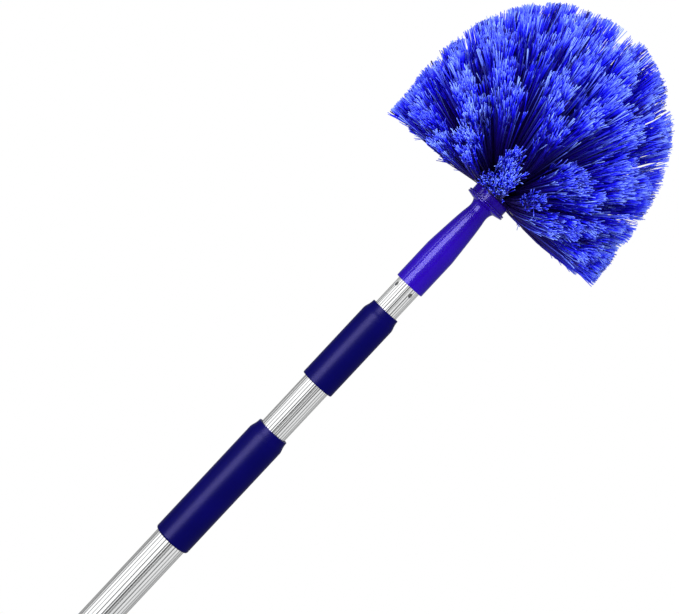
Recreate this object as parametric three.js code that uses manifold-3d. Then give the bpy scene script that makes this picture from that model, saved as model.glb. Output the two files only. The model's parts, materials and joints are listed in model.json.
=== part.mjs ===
import * as THREE from 'three';
import { mergeVertices } from 'three/addons/utils/BufferGeometryUtils.js';
import Module from 'manifold-3d';

// Cobweb duster: a telescopic pole of three fluted tubes with two twist grips, and a screw-on domed brush head.
// Millimetres. The pole runs up +Z from the centre of its foot, and the duster is closed to its shortest.

const wasm = await Module();
wasm.setup();

// Clearances, and the overrun of every cutting body
const seatGap = 0.3;
const runGap = 0.15;
const boreGap = 0.1;
const cutOverrun = 4;

// Tubes
const outerTubeRadius = 14.7;
const middleTubeRadius = 12.5;
const innerTubeRadius = 11;
const outerTubeLength = 808;
const tubeWall = 0.8;
const fluteCount = 28;
const fluteDepth = 0.25;
const fluteWidthShare = 0.3;

// Bare tube that shows above each grip when the pole is closed
const middleTubeShown = 53;
const innerTubeShown = 28;

// Punched dimples that hold a plastic spigot in a tube's end
const dimpleCount = 4;
const dimpleRadius = 1.5;
const dimpleDepth = 1;
const dimpleFromEnd = 7;
const dimpleTurn = THREE.MathUtils.degToRad(-54);

// End cap
const capHeight = 27;
const capRadius = 13.4;
const capFootRound = 2.5;
const capLipRadius = 16;
const capLipHeight = 4;
const capLipRound = 1;
const capSpigotLength = 25;
const hangHoleRadius = 4.5;
const hangHoleHeight = 12;

// Twist grips
const longGripLength = 124;
const longGripRadius = 16.85;
const longNoseRadius = 14.9;
const longFootRound = 2;
const shortGripLength = 83;
const shortGripRadius = 15.4;
const shortNoseRadius = 13.4;
const shortFootRound = 0.8;
const gripNoseLength = 10;
const gripNeckHeight = 6;
const gripLipHeight = 2.5;
const gripLipGap = 0.5;
const gripLipRound = 0.3;
const gripOverhang = 41;
const gripThreadGap = 0.2;
const gripShoulderHeight = 2;
const noseOutlineShares = [[0, 0], [0.17, 0.2], [0.57, 0.45], [0.88, 0.71]];

// Collets inside the grips
const colletWall = 0.75;
const colletFootGap = 2;
const colletSocketDepth = shortGripLength - gripOverhang - gripNeckHeight - colletFootGap;
const colletThreadHeight = 0.25;
const colletThreadPitch = 6;
const colletThreadTurns = 4;
const jawConeLength = 18;
const jawTipWall = 1.1;
const jawSlotWidth = 2;
const jawRootHeight = 4;

// Guide plugs at the tubes' lower ends
const collarHeight = 14;
const collarEdge = 1;
const plugSpigotLength = 22;
const plugBoreRadius = 5;

// Screw tip of the inner tube
const tipBaseRadius = 12.25;
const tipBaseHeight = 4;
const tipThreadRadius = 11.9;
const tipTopRadius = 9.5;
const tipThreadPitch = 2.1;
const tipThreadCount = 9;
const tipThreadDepth = 0.8;
const tipSpigotLength = 25;
const tipBoreRadius = 6;
const tipRoof = 3;
const tipFlatDistance = 11;
const threadOutlineShares = [[0, 1], [0.5, 0]];

// Head socket
const socketMouthRadius = 13.45;
const socketLength = 91.7;
const socketMouthRound = 0.7;
const socketCover = 2;
const socketBoreGap = 0.35;
const socketWeb = 6.5;
const driverBoreRadius = 5.5;
const flangeRadius = 18.25;
const flangeThickness = 1.5;
const socketOutlineShares = [
  [1, 0.4], [0.985, 0.43], [0.9, 0.578], [0.82, 0.709], [0.747, 0.807], [0.68, 0.872], [0.66, 0.9],
  [0.675, 0.925], [0.72, 0.947], [0.79, 0.965],
];

// Brush block
const blockLipThickness = 1.5;
const blockBaseRadius = 16.5;
const blockBaseHeight = 6.5;
const blockPostRadius = 12;
const blockPostHeight = 12;
const domeRadius = 23;
const sliceGap = 0.3;

// Block screw
const screwRadius = 2;
const screwLength = 22;
const screwHeadRadius = 4.5;
const screwHeadHeight = 3;
const screwPointHeight = 3;
const screwRecessWidth = 1;
const screwRecessLength = 5;
const screwRecessDepth = 1.6;

// Bristle fan: its reach goes from the side reach at the rim to the side reach plus the rise at the top
const fanSideReach = 110;
const fanTopRise = 65;
const strandSides = 3;
const strandRootRadius = 0.75;
const strandTipRadius = 3.8;
const strandRootDepth = 2;
const tuftRootSpread = THREE.MathUtils.degToRad(2.4);
const tuftTipSpread = THREE.MathUtils.degToRad(2.6);
const strandPlaceShares = [[1, 0], [-1, 0]];

// Rows of tufts from the rim to the crown, each half a step round from the last, with tufts that divide by four
const tuftsInRows = [16, 16, 16, 16, 16, 16, 16, 16, 12, 12, 8, 4];
const rowTurnShares = [0.25, 0.75];
const rimRootElevation = THREE.MathUtils.degToRad(6);
const crownRootElevation = THREE.MathUtils.degToRad(78);
const rimTipElevation = THREE.MathUtils.degToRad(2.4);
const crownTipElevation = THREE.MathUtils.degToRad(80.5);
const rootGatherShare = 0.8;

// Facets of round shapes
const roundFacets = 30;
const smallFacets = 20;
const ballFacets = 7;
const arcFacets = 2;
const domeTurnFacets = 16;
const domeRiseFacets = 4;

// Places along the pole, worked out from the sizes above
const outerTubeBottom = capHeight + seatGap;
const outerTubeTop = outerTubeBottom + outerTubeLength;
const longGripBottom = outerTubeTop + gripOverhang - longGripLength;
const shortGripBottom = longGripBottom + longGripLength + middleTubeShown;
const middleTubeTop = shortGripBottom + shortGripLength - gripOverhang;
const middlePlugBottom = capHeight + capSpigotLength + seatGap;
const middleTubeBottom = middlePlugBottom + collarHeight + seatGap;
const innerPlugBottom = middlePlugBottom + collarHeight + plugSpigotLength + seatGap;
const innerTubeBottom = innerPlugBottom + collarHeight + seatGap;
const socketBottom = shortGripBottom + shortGripLength + innerTubeShown;
const innerTubeTop = socketBottom + socketCover;
const blockBottom = socketBottom + socketLength + seatGap;
const fanCentre = blockBottom + blockLipThickness + blockBaseHeight;
const screwHeadTop = socketBottom + socketLength - socketWeb - seatGap;

// Radii that follow from a tube's size
const tubeBore = (radius) => radius - tubeWall - fluteDepth;
const tipHeight = tipBaseHeight + tipThreadCount * tipThreadPitch;
const dimpleBallRadius = (dimpleRadius ** 2 + dimpleDepth ** 2) / (2 * dimpleDepth);
const dimpleBallOut = dimpleBallRadius - dimpleDepth;

// Solids: a closed geometry goes in, and a closed geometry comes back out

function toSolid(geometry) {
  const bare = geometry.clone();
  bare.deleteAttribute('normal');
  bare.deleteAttribute('uv');
  const merged = mergeVertices(bare);
  const corners = [];
  const index = merged.index.array;
  for (let i = 0; i < index.length; i += 3) {
    const [a, b, c] = [index[i], index[i + 1], index[i + 2]];
    if (a !== b && b !== c && c !== a) corners.push(a, b, c);
  }
  const mesh = new wasm.Mesh({
    numProp: 3,
    vertProperties: new Float32Array(merged.attributes.position.array),
    triVerts: new Uint32Array(corners),
  });
  return new wasm.Manifold(mesh);
}

function toGeometry(solid) {
  const mesh = solid.getMesh();
  const geometry = new THREE.BufferGeometry();
  geometry.setAttribute('position', new THREE.BufferAttribute(mesh.vertProperties, mesh.numProp));
  geometry.setIndex(new THREE.BufferAttribute(mesh.triVerts, 1));
  geometry.computeVertexNormals();
  return geometry;
}

function cut(geometry, cutters) {
  let solid = toSolid(geometry);
  for (const cutter of cutters) solid = solid.subtract(toSolid(cutter));
  return toGeometry(solid);
}

// An outline of [radius, height] points, counter-clockwise round the material, turned about +Z
function turned(outline, facets) {
  const points = outline.map(([radius, height]) => new THREE.Vector2(radius, height));
  return new THREE.LatheGeometry(points, facets).rotateX(Math.PI / 2);
}

// The same for a ring, whose outline closes on itself
function turnedRing(outline, facets) {
  return turned([...outline, outline[0]], facets);
}

// Quarter of a circle round an edge, from one angle to the next quarter, as [radius, height] points
function roundedEdge(centreRadius, centreHeight, edge, startAngle) {
  const points = [];
  for (let i = 0; i <= arcFacets; i += 1) {
    const angle = startAngle + (i / arcFacets) * (Math.PI / 2);
    points.push([centreRadius + edge * Math.cos(angle), centreHeight + edge * Math.sin(angle)]);
  }
  return points;
}

function boxAt(width, depth, height, x, y, z) {
  return new THREE.BoxGeometry(width, depth, height).translate(x, y, z);
}

// Tubes

// The corners of a fluted outline: flat lands with a shallow V between each two
function flutedPath(radius) {
  const pitch = (2 * Math.PI) / fluteCount;
  const halfFlute = (pitch * fluteWidthShare) / 2;
  const points = [];
  for (let i = 0; i < fluteCount; i += 1) {
    const middle = i * pitch;
    const corners = [[middle - halfFlute, radius], [middle, radius - fluteDepth], [middle + halfFlute, radius]];
    for (const [angle, reach] of corners) {
      points.push(new THREE.Vector2(reach * Math.cos(angle), reach * Math.sin(angle)));
    }
  }
  return points;
}

function flutedTube(radius, length) {
  const section = new THREE.Shape(flutedPath(radius));
  section.holes.push(new THREE.Path(flutedPath(radius - tubeWall)));
  return new THREE.ExtrudeGeometry(section, { depth: length, bevelEnabled: false });
}

// Balls of one radius, centred where the dimples of a tube are punched
function dimpleBalls(tubeRadius, height, ballRadius) {
  const balls = [];
  for (let i = 0; i < dimpleCount; i += 1) {
    const angle = dimpleTurn + (i / dimpleCount) * 2 * Math.PI;
    const reach = tubeRadius + dimpleBallOut;
    const ball = new THREE.SphereGeometry(ballRadius, ballFacets, ballFacets / 2);
    balls.push(ball.translate(reach * Math.cos(angle), reach * Math.sin(angle), height));
  }
  return balls;
}

// A fluted tube whose wall is punched inwards at the given height
function dimpledTube(radius, length, height) {
  const within = new THREE.CylinderGeometry(radius - tubeWall, radius - tubeWall, length, roundFacets);
  const inside = toSolid(within.rotateX(Math.PI / 2).translate(0, 0, length / 2));
  let solid = toSolid(flutedTube(radius, length));
  for (const bulge of dimpleBalls(radius, height, dimpleBallRadius + tubeWall)) {
    solid = solid.add(toSolid(bulge).intersect(inside));
  }
  for (const dent of dimpleBalls(radius, height, dimpleBallRadius)) {
    solid = solid.subtract(toSolid(dent));
  }
  return toGeometry(solid);
}

// Pockets that clear a tube's dimples in the spigot inside it
function dimplePockets(tubeRadius, height) {
  return dimpleBalls(tubeRadius, height, dimpleBallRadius + tubeWall + seatGap);
}

// End cap: a plug with a lip under the tube's end and a hanging hole across it
function endCap() {
  const spigotRadius = tubeBore(outerTubeRadius) - runGap;
  const lipBottom = capHeight - capLipHeight;
  const body = turned([
    [0, 0],
    ...roundedEdge(capRadius - capFootRound, capFootRound, capFootRound, -Math.PI / 2),
    [capRadius, lipBottom - (capLipRadius - capRadius)],
    [capLipRadius, lipBottom],
    ...roundedEdge(capLipRadius - capLipRound, capHeight - capLipRound, capLipRound, 0),
    [spigotRadius, capHeight],
    [spigotRadius, capHeight + capSpigotLength - collarEdge],
    [spigotRadius - collarEdge, capHeight + capSpigotLength],
    [0, capHeight + capSpigotLength],
  ], roundFacets);
  const hole = new THREE.CylinderGeometry(
    hangHoleRadius, hangHoleRadius, 2 * (capRadius + cutOverrun), smallFacets,
  ).rotateZ(Math.PI / 2).translate(0, 0, hangHoleHeight);
  return cut(body, [hole, ...dimplePockets(outerTubeRadius, capHeight + seatGap + dimpleFromEnd)]);
}

// Guide plug: its collar runs in the larger tube, and its spigot fills the smaller one's end
function guidePlug(largerTubeRadius, ownTubeRadius) {
  const collarRadius = tubeBore(largerTubeRadius) - runGap;
  const spigotRadius = tubeBore(ownTubeRadius) - runGap;
  return turnedRing([
    [plugBoreRadius, 0],
    [collarRadius - collarEdge, 0],
    [collarRadius, collarEdge],
    [collarRadius, collarHeight],
    [spigotRadius, collarHeight],
    [spigotRadius, collarHeight + plugSpigotLength - collarEdge],
    [spigotRadius - collarEdge, collarHeight + plugSpigotLength],
    [plugBoreRadius, collarHeight + plugSpigotLength],
  ], smallFacets);
}

// Sizes that a collet and its grip share, with the tube that carries them and the tube that they hold
function lockSizes(carryingRadius, heldRadius) {
  const socketRadius = carryingRadius + boreGap;
  const rootRadius = socketRadius + colletWall;
  const crestRadius = rootRadius + colletThreadHeight;
  const jawBore = heldRadius + boreGap;
  const jawTop = gripOverhang - gripLipHeight - seatGap;
  return {
    carryingRadius, heldRadius, socketRadius, rootRadius, crestRadius, jawBore, jawTop,
    jawTipRadius: jawBore + jawTipWall,
    gripBore: crestRadius + gripThreadGap,
  };
}

// Collet: a threaded sleeve over the tube's end, whose slotted jaws close on the tube inside. Its zero is the tube's top.
function collet(sizes) {
  const threads = [];
  const foot = seatGap - colletSocketDepth;
  const threadStart = foot + colletThreadPitch / 2;
  for (let turn = 0; turn < colletThreadTurns; turn += 1) {
    for (const [along, drop] of threadOutlineShares) {
      threads.push([sizes.crestRadius - drop * colletThreadHeight, threadStart + (turn + along) * colletThreadPitch]);
    }
  }
  const body = turnedRing([
    [sizes.socketRadius, foot],
    [sizes.rootRadius, foot],
    ...threads,
    [sizes.rootRadius, sizes.jawTop - jawConeLength],
    [sizes.jawTipRadius, sizes.jawTop],
    [sizes.jawBore, sizes.jawTop],
    [sizes.jawBore, seatGap],
    [sizes.socketRadius, seatGap],
  ], roundFacets);
  const slotBottom = seatGap + jawRootHeight;
  const slotHeight = sizes.jawTop - slotBottom + cutOverrun;
  const reach = 2 * (sizes.rootRadius + cutOverrun);
  const middle = slotBottom + slotHeight / 2;
  return cut(body, [
    boxAt(reach, jawSlotWidth, slotHeight, 0, 0, middle),
    boxAt(jawSlotWidth, reach, slotHeight, 0, 0, middle),
  ]);
}

// Twist grip: a sleeve that screws over the collet and closes its jaws with the cone in its nose. Its zero is its foot.
function twistGrip(sizes, { length, radius, noseRadius, footRound }) {
  const toGrip = length - gripOverhang;
  const noseBottom = length - gripNoseLength;
  const coneBottom = toGrip + sizes.jawTop - jawConeLength;
  const coneTop = length - gripLipHeight;
  const nose = noseOutlineShares.map(([inwards, along]) => [
    radius - inwards * (radius - noseRadius),
    noseBottom + along * (gripNoseLength - gripLipRound),
  ]);
  return turnedRing([
    [sizes.carryingRadius + boreGap, 0],
    ...roundedEdge(radius - footRound, footRound, footRound, -Math.PI / 2),
    ...nose,
    ...roundedEdge(noseRadius - gripLipRound, length - gripLipRound, gripLipRound, 0),
    [sizes.heldRadius + gripLipGap, length],
    [sizes.heldRadius + gripLipGap, coneTop],
    [sizes.jawTipRadius + seatGap, coneTop],
    [sizes.rootRadius + seatGap, coneBottom],
    [sizes.gripBore, coneBottom - gripShoulderHeight],
    [sizes.gripBore, gripNeckHeight],
    [sizes.carryingRadius + boreGap, gripNeckHeight],
  ], roundFacets);
}

// The radius of the tip's thread crests falls evenly up the tip
function tipCrestRadius(height) {
  const share = (height - tipBaseHeight) / (tipHeight - tipBaseHeight);
  return tipThreadRadius - share * (tipThreadRadius - tipTopRadius);
}

// Screw tip: a hollow spigot in the tube's end, a base ring, and a tapered thread with a flat on each side
function screwTip() {
  const spigotRadius = tubeBore(innerTubeRadius) - runGap;
  const threads = [];
  for (let turn = 0; turn < tipThreadCount; turn += 1) {
    for (const [along, drop] of threadOutlineShares) {
      const height = tipBaseHeight + (turn + along) * tipThreadPitch;
      threads.push([tipCrestRadius(height) - drop * tipThreadDepth, height]);
    }
  }
  const spigotBottom = -tipSpigotLength;
  const body = turned([
    [0, tipHeight - tipRoof],
    [tipBoreRadius, tipHeight - tipRoof],
    [tipBoreRadius, spigotBottom],
    [spigotRadius, spigotBottom],
    [spigotRadius, 0],
    [tipBaseRadius, 0],
    [tipBaseRadius, tipBaseHeight],
    ...threads,
    [tipTopRadius, tipHeight],
    [0, tipHeight],
  ], smallFacets);
  const flatWidth = 2 * tipBaseRadius;
  const flatDepth = tipBaseRadius - tipFlatDistance + cutOverrun;
  const flatHeight = tipHeight - tipBaseHeight + cutOverrun;
  const flats = [-1, 1].map((side) => boxAt(
    flatWidth, flatDepth, flatHeight,
    0, side * (tipFlatDistance + flatDepth / 2), tipBaseHeight + flatHeight / 2,
  ));
  return cut(body, [...flats, ...dimplePockets(innerTubeRadius, -seatGap - dimpleFromEnd)]);
}

// Head socket: a tapered handle that screws onto the tip, with a flange under the brush block. Its zero is its mouth.
function headSocket() {
  const outline = socketOutlineShares.map(([across, along]) => [
    across * socketMouthRadius, along * socketLength,
  ]);
  const threadBottom = socketCover + seatGap + tipBaseHeight;
  const seat = socketCover + seatGap + tipHeight + seatGap;
  return turnedRing([
    [tipBaseRadius + socketBoreGap, 0],
    ...roundedEdge(socketMouthRadius - socketMouthRound, socketMouthRound, socketMouthRound, -Math.PI / 2),
    ...outline,
    [flangeRadius, socketLength - flangeThickness],
    [flangeRadius, socketLength],
    [screwRadius + seatGap, socketLength],
    [screwRadius + seatGap, socketLength - socketWeb],
    [driverBoreRadius, socketLength - socketWeb],
    [driverBoreRadius, seat],
    [tipTopRadius + socketBoreGap, seat],
    [tipThreadRadius + socketBoreGap, threadBottom + seatGap],
    [tipBaseRadius + socketBoreGap, threadBottom + seatGap],
  ], roundFacets);
}

// Brush block: lipped base and the post inside the drilled dome. Its zero is the underside of its lip.
function brushBlock() {
  const baseTop = blockLipThickness + blockBaseHeight - sliceGap;
  const pilotTop = screwLength - socketWeb - seatGap;
  return turned([
    [0, pilotTop],
    [screwRadius + seatGap, pilotTop],
    [screwRadius + seatGap, 0],
    [flangeRadius, 0],
    [flangeRadius, blockLipThickness],
    [blockBaseRadius, blockLipThickness],
    [blockBaseRadius, baseTop],
    [blockPostRadius, baseTop],
    [blockPostRadius, baseTop + blockPostHeight],
    [0, baseTop + blockPostHeight],
  ], roundFacets);
}

// Block screw: pan head with a cross recess, shank and point. Its zero is the top of its head, under the web.
function blockScrew() {
  const body = turned([
    [0, -screwHeadHeight],
    ...roundedEdge(
      screwHeadRadius - screwHeadHeight / 2, -screwHeadHeight / 2, screwHeadHeight / 2, -Math.PI / 2,
    ),
    [screwHeadRadius, 0],
    [screwRadius, 0],
    [screwRadius, screwLength - screwPointHeight],
    [0, screwLength],
  ], smallFacets);
  const depth = screwRecessDepth + cutOverrun;
  const middle = screwRecessDepth - screwHeadHeight - depth / 2;
  return cut(body, [
    boxAt(screwRecessLength, screwRecessWidth, depth, 0, 0, middle),
    boxAt(screwRecessWidth, screwRecessLength, depth, 0, 0, middle),
  ]);
}

// Bristles

// How far the fan reaches from its centre along a direction
function fanReach(direction) {
  return fanSideReach + fanTopRise * direction.z ** 2;
}

// A direction off a tuft's own, by shares of a spread sideways and upwards
function tuftDirection(turn, elevation, spread, sideways, upwards) {
  const direction = new THREE.Vector3(
    Math.cos(elevation) * Math.cos(turn), Math.cos(elevation) * Math.sin(turn), Math.sin(elevation),
  );
  const side = new THREE.Vector3(-Math.sin(turn), Math.cos(turn), 0);
  const up = new THREE.Vector3().crossVectors(direction, side);
  return direction
    .addScaledVector(side, sideways * Math.tan(spread))
    .addScaledVector(up, upwards * Math.tan(spread))
    .normalize();
}

// One straight strand between two points, wider at its tip, as corners and triangles added to the lists
function addStrand(corners, triangles, root, tip) {
  const along = new THREE.Vector3().subVectors(tip, root).normalize();
  const side = new THREE.Vector3(-along.y, along.x, 0).normalize();
  const up = new THREE.Vector3().crossVectors(along, side);
  const first = corners.length / 3;
  for (const [end, radius] of [[root, strandRootRadius], [tip, strandTipRadius]]) {
    for (let i = 0; i < strandSides; i += 1) {
      const angle = (i / strandSides) * 2 * Math.PI;
      const corner = end.clone()
        .addScaledVector(side, radius * Math.cos(angle))
        .addScaledVector(up, radius * Math.sin(angle));
      corners.push(corner.x, corner.y, corner.z);
    }
  }
  for (let i = 0; i < strandSides; i += 1) {
    const next = (i + 1) % strandSides;
    triangles.push(first + i, first + next, first + strandSides + next);
    triangles.push(first + i, first + strandSides + next, first + strandSides + i);
  }
  for (let i = 1; i < strandSides - 1; i += 1) {
    triangles.push(first, first + i + 1, first + i);
    triangles.push(first + strandSides, first + strandSides + i, first + strandSides + i + 1);
  }
}

// The strands of one quarter of the fan, about the fan's centre. Their roots gather towards the quarter's middle.
function quarterStrands(quarter) {
  const corners = [];
  const triangles = [];
  const middleTurn = (quarter + 0.5) * (Math.PI / 2);
  tuftsInRows.forEach((count, row) => {
    const perQuarter = count / 4;
    const rise = row / (tuftsInRows.length - 1);
    const rootElevation = THREE.MathUtils.lerp(rimRootElevation, crownRootElevation, rise);
    const tipElevation = THREE.MathUtils.lerp(rimTipElevation, crownTipElevation, rise);
    const turnShare = rowTurnShares[row % rowTurnShares.length];
    for (let i = 0; i < perQuarter; i += 1) {
      const turn = (quarter + (i + turnShare) / perQuarter) * (Math.PI / 2);
      const rootTurn = THREE.MathUtils.lerp(middleTurn, turn, rootGatherShare);
      for (const [sideways, upwards] of strandPlaceShares) {
        const root = tuftDirection(rootTurn, rootElevation, tuftRootSpread, sideways, upwards);
        const tip = tuftDirection(turn, tipElevation, tuftTipSpread, sideways, upwards);
        root.multiplyScalar(domeRadius - strandRootDepth);
        tip.multiplyScalar(fanReach(tip));
        addStrand(corners, triangles, root, tip);
      }
    }
  });
  const geometry = new THREE.BufferGeometry();
  geometry.setAttribute('position', new THREE.Float32BufferAttribute(corners, 3));
  geometry.setIndex(triangles);
  return geometry;
}

// The drilled layer of the block: a half ball with a pocket for the post
function drilledDome() {
  const pocketRadius = blockPostRadius + sliceGap;
  const pocketTop = blockPostHeight;
  const dome = [];
  for (let i = 0; i <= domeRiseFacets; i += 1) {
    const angle = (i / domeRiseFacets) * (Math.PI / 2);
    dome.push([domeRadius * Math.cos(angle), domeRadius * Math.sin(angle)]);
  }
  dome[domeRiseFacets][0] = 0;
  return turned([[0, pocketTop], [pocketRadius, pocketTop], [pocketRadius, 0], ...dome], domeTurnFacets);
}

// One quarter of the bristles, fused to its slice of the drilled layer
function bristleQuarter(quarter) {
  const size = domeRadius + cutOverrun;
  const from = sliceGap / 2;
  const corner = boxAt(size, size, 2 * size, from + size / 2, from + size / 2, 0);
  const slice = toSolid(drilledDome()).intersect(toSolid(corner.rotateZ(quarter * (Math.PI / 2))));
  return toGeometry(slice.add(toSolid(quarterStrands(quarter))));
}

// Materials

const finish = (color, roughness, metalness) => new THREE.MeshStandardMaterial({ color, roughness, metalness });
const aluminium = finish(0xd4d6d8, 0.3, 0.95);
const navyPlastic = finish(0x14107a, 0.45, 0);
const violetPlastic = finish(0x3a1ec0, 0.25, 0);
const bluePlastic = finish(0x1420b0, 0.35, 0);
const paleNylon = finish(0xd8d8d2, 0.5, 0);
const bristleBlue = finish(0x2840f0, 0.5, 0);
const platedSteel = finish(0xb8b8bc, 0.3, 1);

// Assembly

function piece(name, geometry, material, height) {
  const mesh = new THREE.Mesh(geometry, material);
  mesh.name = name;
  mesh.position.z = height;
  return mesh;
}

function outerSection(sizes) {
  return new THREE.Group().add(
    piece('end_cap', endCap(), navyPlastic, 0),
    piece('outer_tube', dimpledTube(outerTubeRadius, outerTubeLength, dimpleFromEnd), aluminium, outerTubeBottom),
    piece('lower_collet', collet(sizes), paleNylon, outerTubeTop),
  );
}

function middleSection(sizes) {
  const length = middleTubeTop - middleTubeBottom;
  return new THREE.Group().add(
    piece('middle_guide_plug', guidePlug(outerTubeRadius, middleTubeRadius), paleNylon, middlePlugBottom),
    piece('middle_tube', flutedTube(middleTubeRadius, length), aluminium, middleTubeBottom),
    piece('upper_collet', collet(sizes), paleNylon, middleTubeTop),
  );
}

function innerSection() {
  const length = innerTubeTop - innerTubeBottom;
  return new THREE.Group().add(
    piece('inner_guide_plug', guidePlug(middleTubeRadius, innerTubeRadius), paleNylon, innerPlugBottom),
    piece('inner_tube', dimpledTube(innerTubeRadius, length, length - dimpleFromEnd), aluminium, innerTubeBottom),
    piece('screw_tip', screwTip(), bluePlastic, innerTubeTop + seatGap),
  );
}

function brushHead() {
  const head = new THREE.Group().add(
    piece('head_socket', headSocket(), violetPlastic, socketBottom),
    piece('brush_block', brushBlock(), violetPlastic, blockBottom),
    piece('block_screw', blockScrew(), platedSteel, screwHeadTop),
  );
  for (let quarter = 0; quarter < 4; quarter += 1) {
    head.add(piece(`bristles_${quarter + 1}`, bristleQuarter(quarter), bristleBlue, fanCentre));
  }
  return head;
}

const lowerLock = lockSizes(outerTubeRadius, middleTubeRadius);
const upperLock = lockSizes(middleTubeRadius, innerTubeRadius);
const longGrip = twistGrip(lowerLock, {
  length: longGripLength, radius: longGripRadius, noseRadius: longNoseRadius, footRound: longFootRound,
});
const shortGrip = twistGrip(upperLock, {
  length: shortGripLength, radius: shortGripRadius, noseRadius: shortNoseRadius, footRound: shortFootRound,
});

const group = new THREE.Group().add(
  outerSection(lowerLock),
  piece('long_grip', longGrip, navyPlastic, longGripBottom),
  middleSection(upperLock),
  piece('short_grip', shortGrip, navyPlastic, shortGripBottom),
  innerSection(),
  brushHead(),
);

export default group;
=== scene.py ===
"""Dresses the cobweb duster: fluted tubes, twist grips, and a screw-on head with its fan of bristles."""

import json
import logging
import math
from dataclasses import dataclass
from enum import Enum
from typing import Callable, Sequence

import bmesh
import bpy
import numpy as np
from mathutils import Matrix, Vector

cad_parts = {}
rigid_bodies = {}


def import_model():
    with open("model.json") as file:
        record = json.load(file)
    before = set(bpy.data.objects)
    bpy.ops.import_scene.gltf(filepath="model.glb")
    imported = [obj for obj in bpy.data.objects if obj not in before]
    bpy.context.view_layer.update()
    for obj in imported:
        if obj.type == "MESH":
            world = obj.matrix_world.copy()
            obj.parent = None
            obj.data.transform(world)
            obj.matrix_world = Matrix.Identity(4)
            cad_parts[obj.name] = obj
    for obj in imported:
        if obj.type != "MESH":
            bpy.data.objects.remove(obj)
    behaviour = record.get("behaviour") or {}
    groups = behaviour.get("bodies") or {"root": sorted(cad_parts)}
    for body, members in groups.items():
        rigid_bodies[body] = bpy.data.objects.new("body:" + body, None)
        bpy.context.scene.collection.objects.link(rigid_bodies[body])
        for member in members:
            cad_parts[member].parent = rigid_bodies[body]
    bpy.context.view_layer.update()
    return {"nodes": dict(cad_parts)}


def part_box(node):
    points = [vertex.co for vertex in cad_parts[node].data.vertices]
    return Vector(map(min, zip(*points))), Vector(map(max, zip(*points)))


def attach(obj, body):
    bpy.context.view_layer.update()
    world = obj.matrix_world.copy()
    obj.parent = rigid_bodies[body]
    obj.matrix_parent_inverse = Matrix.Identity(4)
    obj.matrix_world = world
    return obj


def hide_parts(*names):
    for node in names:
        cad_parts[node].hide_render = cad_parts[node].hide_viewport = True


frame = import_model()

logging.basicConfig(level=logging.INFO, format="%(message)s")
LOG = logging.getLogger("cobweb_duster")

Piece = bpy.types.Object
Material = bpy.types.Material
Tree = bpy.types.NodeTree
Node = bpy.types.Node
Output = bpy.types.NodeSocket
Array = np.ndarray
Draw = np.random.Generator
Point = tuple[float, float]
Pair = tuple[float, float]
Colour = tuple[float, float, float]

MM = 0.001
ROUND_SIDES = 96
EDGE_STEPS = 6
MERGE_DISTANCE = 0.001 * MM
AXIS_RADIUS = 0.0001 * MM
SMOOTH_ANGLE = math.radians(35)
CLOUD_DETAIL = 3.0
GRAIN_DETAIL = 2.0


class Body(Enum):
    """The bodies that the duster's pieces ride on."""

    OUTER = "pole_outer"
    LONG_GRIP = "long_grip"
    MIDDLE = "pole_middle"
    SHORT_GRIP = "short_grip"
    INNER = "pole_inner"
    HEAD = "head"


# Shader maths


def operator(operation: str, reflected: bool = False) -> Callable:
    """Makes a method that joins a socket and another value in a Math node.

    Args:
        operation: the node's operation.
        reflected: whether the other value comes first.

    Returns:
        The method.
    """
    def method(self: "Socket", other: "Socket | float") -> "Socket":
        """Adds the node."""
        return self.joined(operation, *((other, self) if reflected else (self, other)))
    return method


@dataclass
class Socket:
    """A shader socket that can be used in Python sums, products and powers."""

    tree: Tree
    output: Output

    __add__ = __radd__ = operator("ADD")
    __mul__ = __rmul__ = operator("MULTIPLY")
    __sub__ = operator("SUBTRACT")
    __rsub__ = operator("SUBTRACT", reflected=True)
    __truediv__ = operator("DIVIDE")
    __pow__ = operator("POWER")
    angle_to = operator("ARCTAN2")

    def joined(self, operation: str, *values: "Socket | float", clamp: bool = False) -> "Socket":
        """Adds one Math node and wraps its result.

        Args:
            operation: the node's operation.
            values: its inputs, in order.
            clamp: whether the result is held between 0 and 1.

        Returns:
            The result.
        """
        node = self.tree.nodes.new("ShaderNodeMath")
        node.operation = operation
        node.use_clamp = clamp
        for slot, value in zip(node.inputs, values):
            if isinstance(value, Socket):
                self.tree.links.new(value.output, slot)
            else:
                slot.default_value = value
        return Socket(self.tree, node.outputs[0])

    def clamped(self) -> "Socket":
        """The value held between 0 and 1."""
        return self.joined("ADD", self, 0.0, clamp=True)

    def step(self, low: float, high: float) -> "Socket":
        """A smooth step from 0 at low to 1 at high.

        Args:
            low: where it starts.
            high: where it ends.

        Returns:
            The step.
        """
        node = self.tree.nodes.new("ShaderNodeMapRange")
        node.interpolation_type = "SMOOTHSTEP"
        self.tree.links.new(self.output, node.inputs["Value"])
        node.inputs["From Min"].default_value = low
        node.inputs["From Max"].default_value = high
        return Socket(self.tree, node.outputs["Result"])


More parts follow.
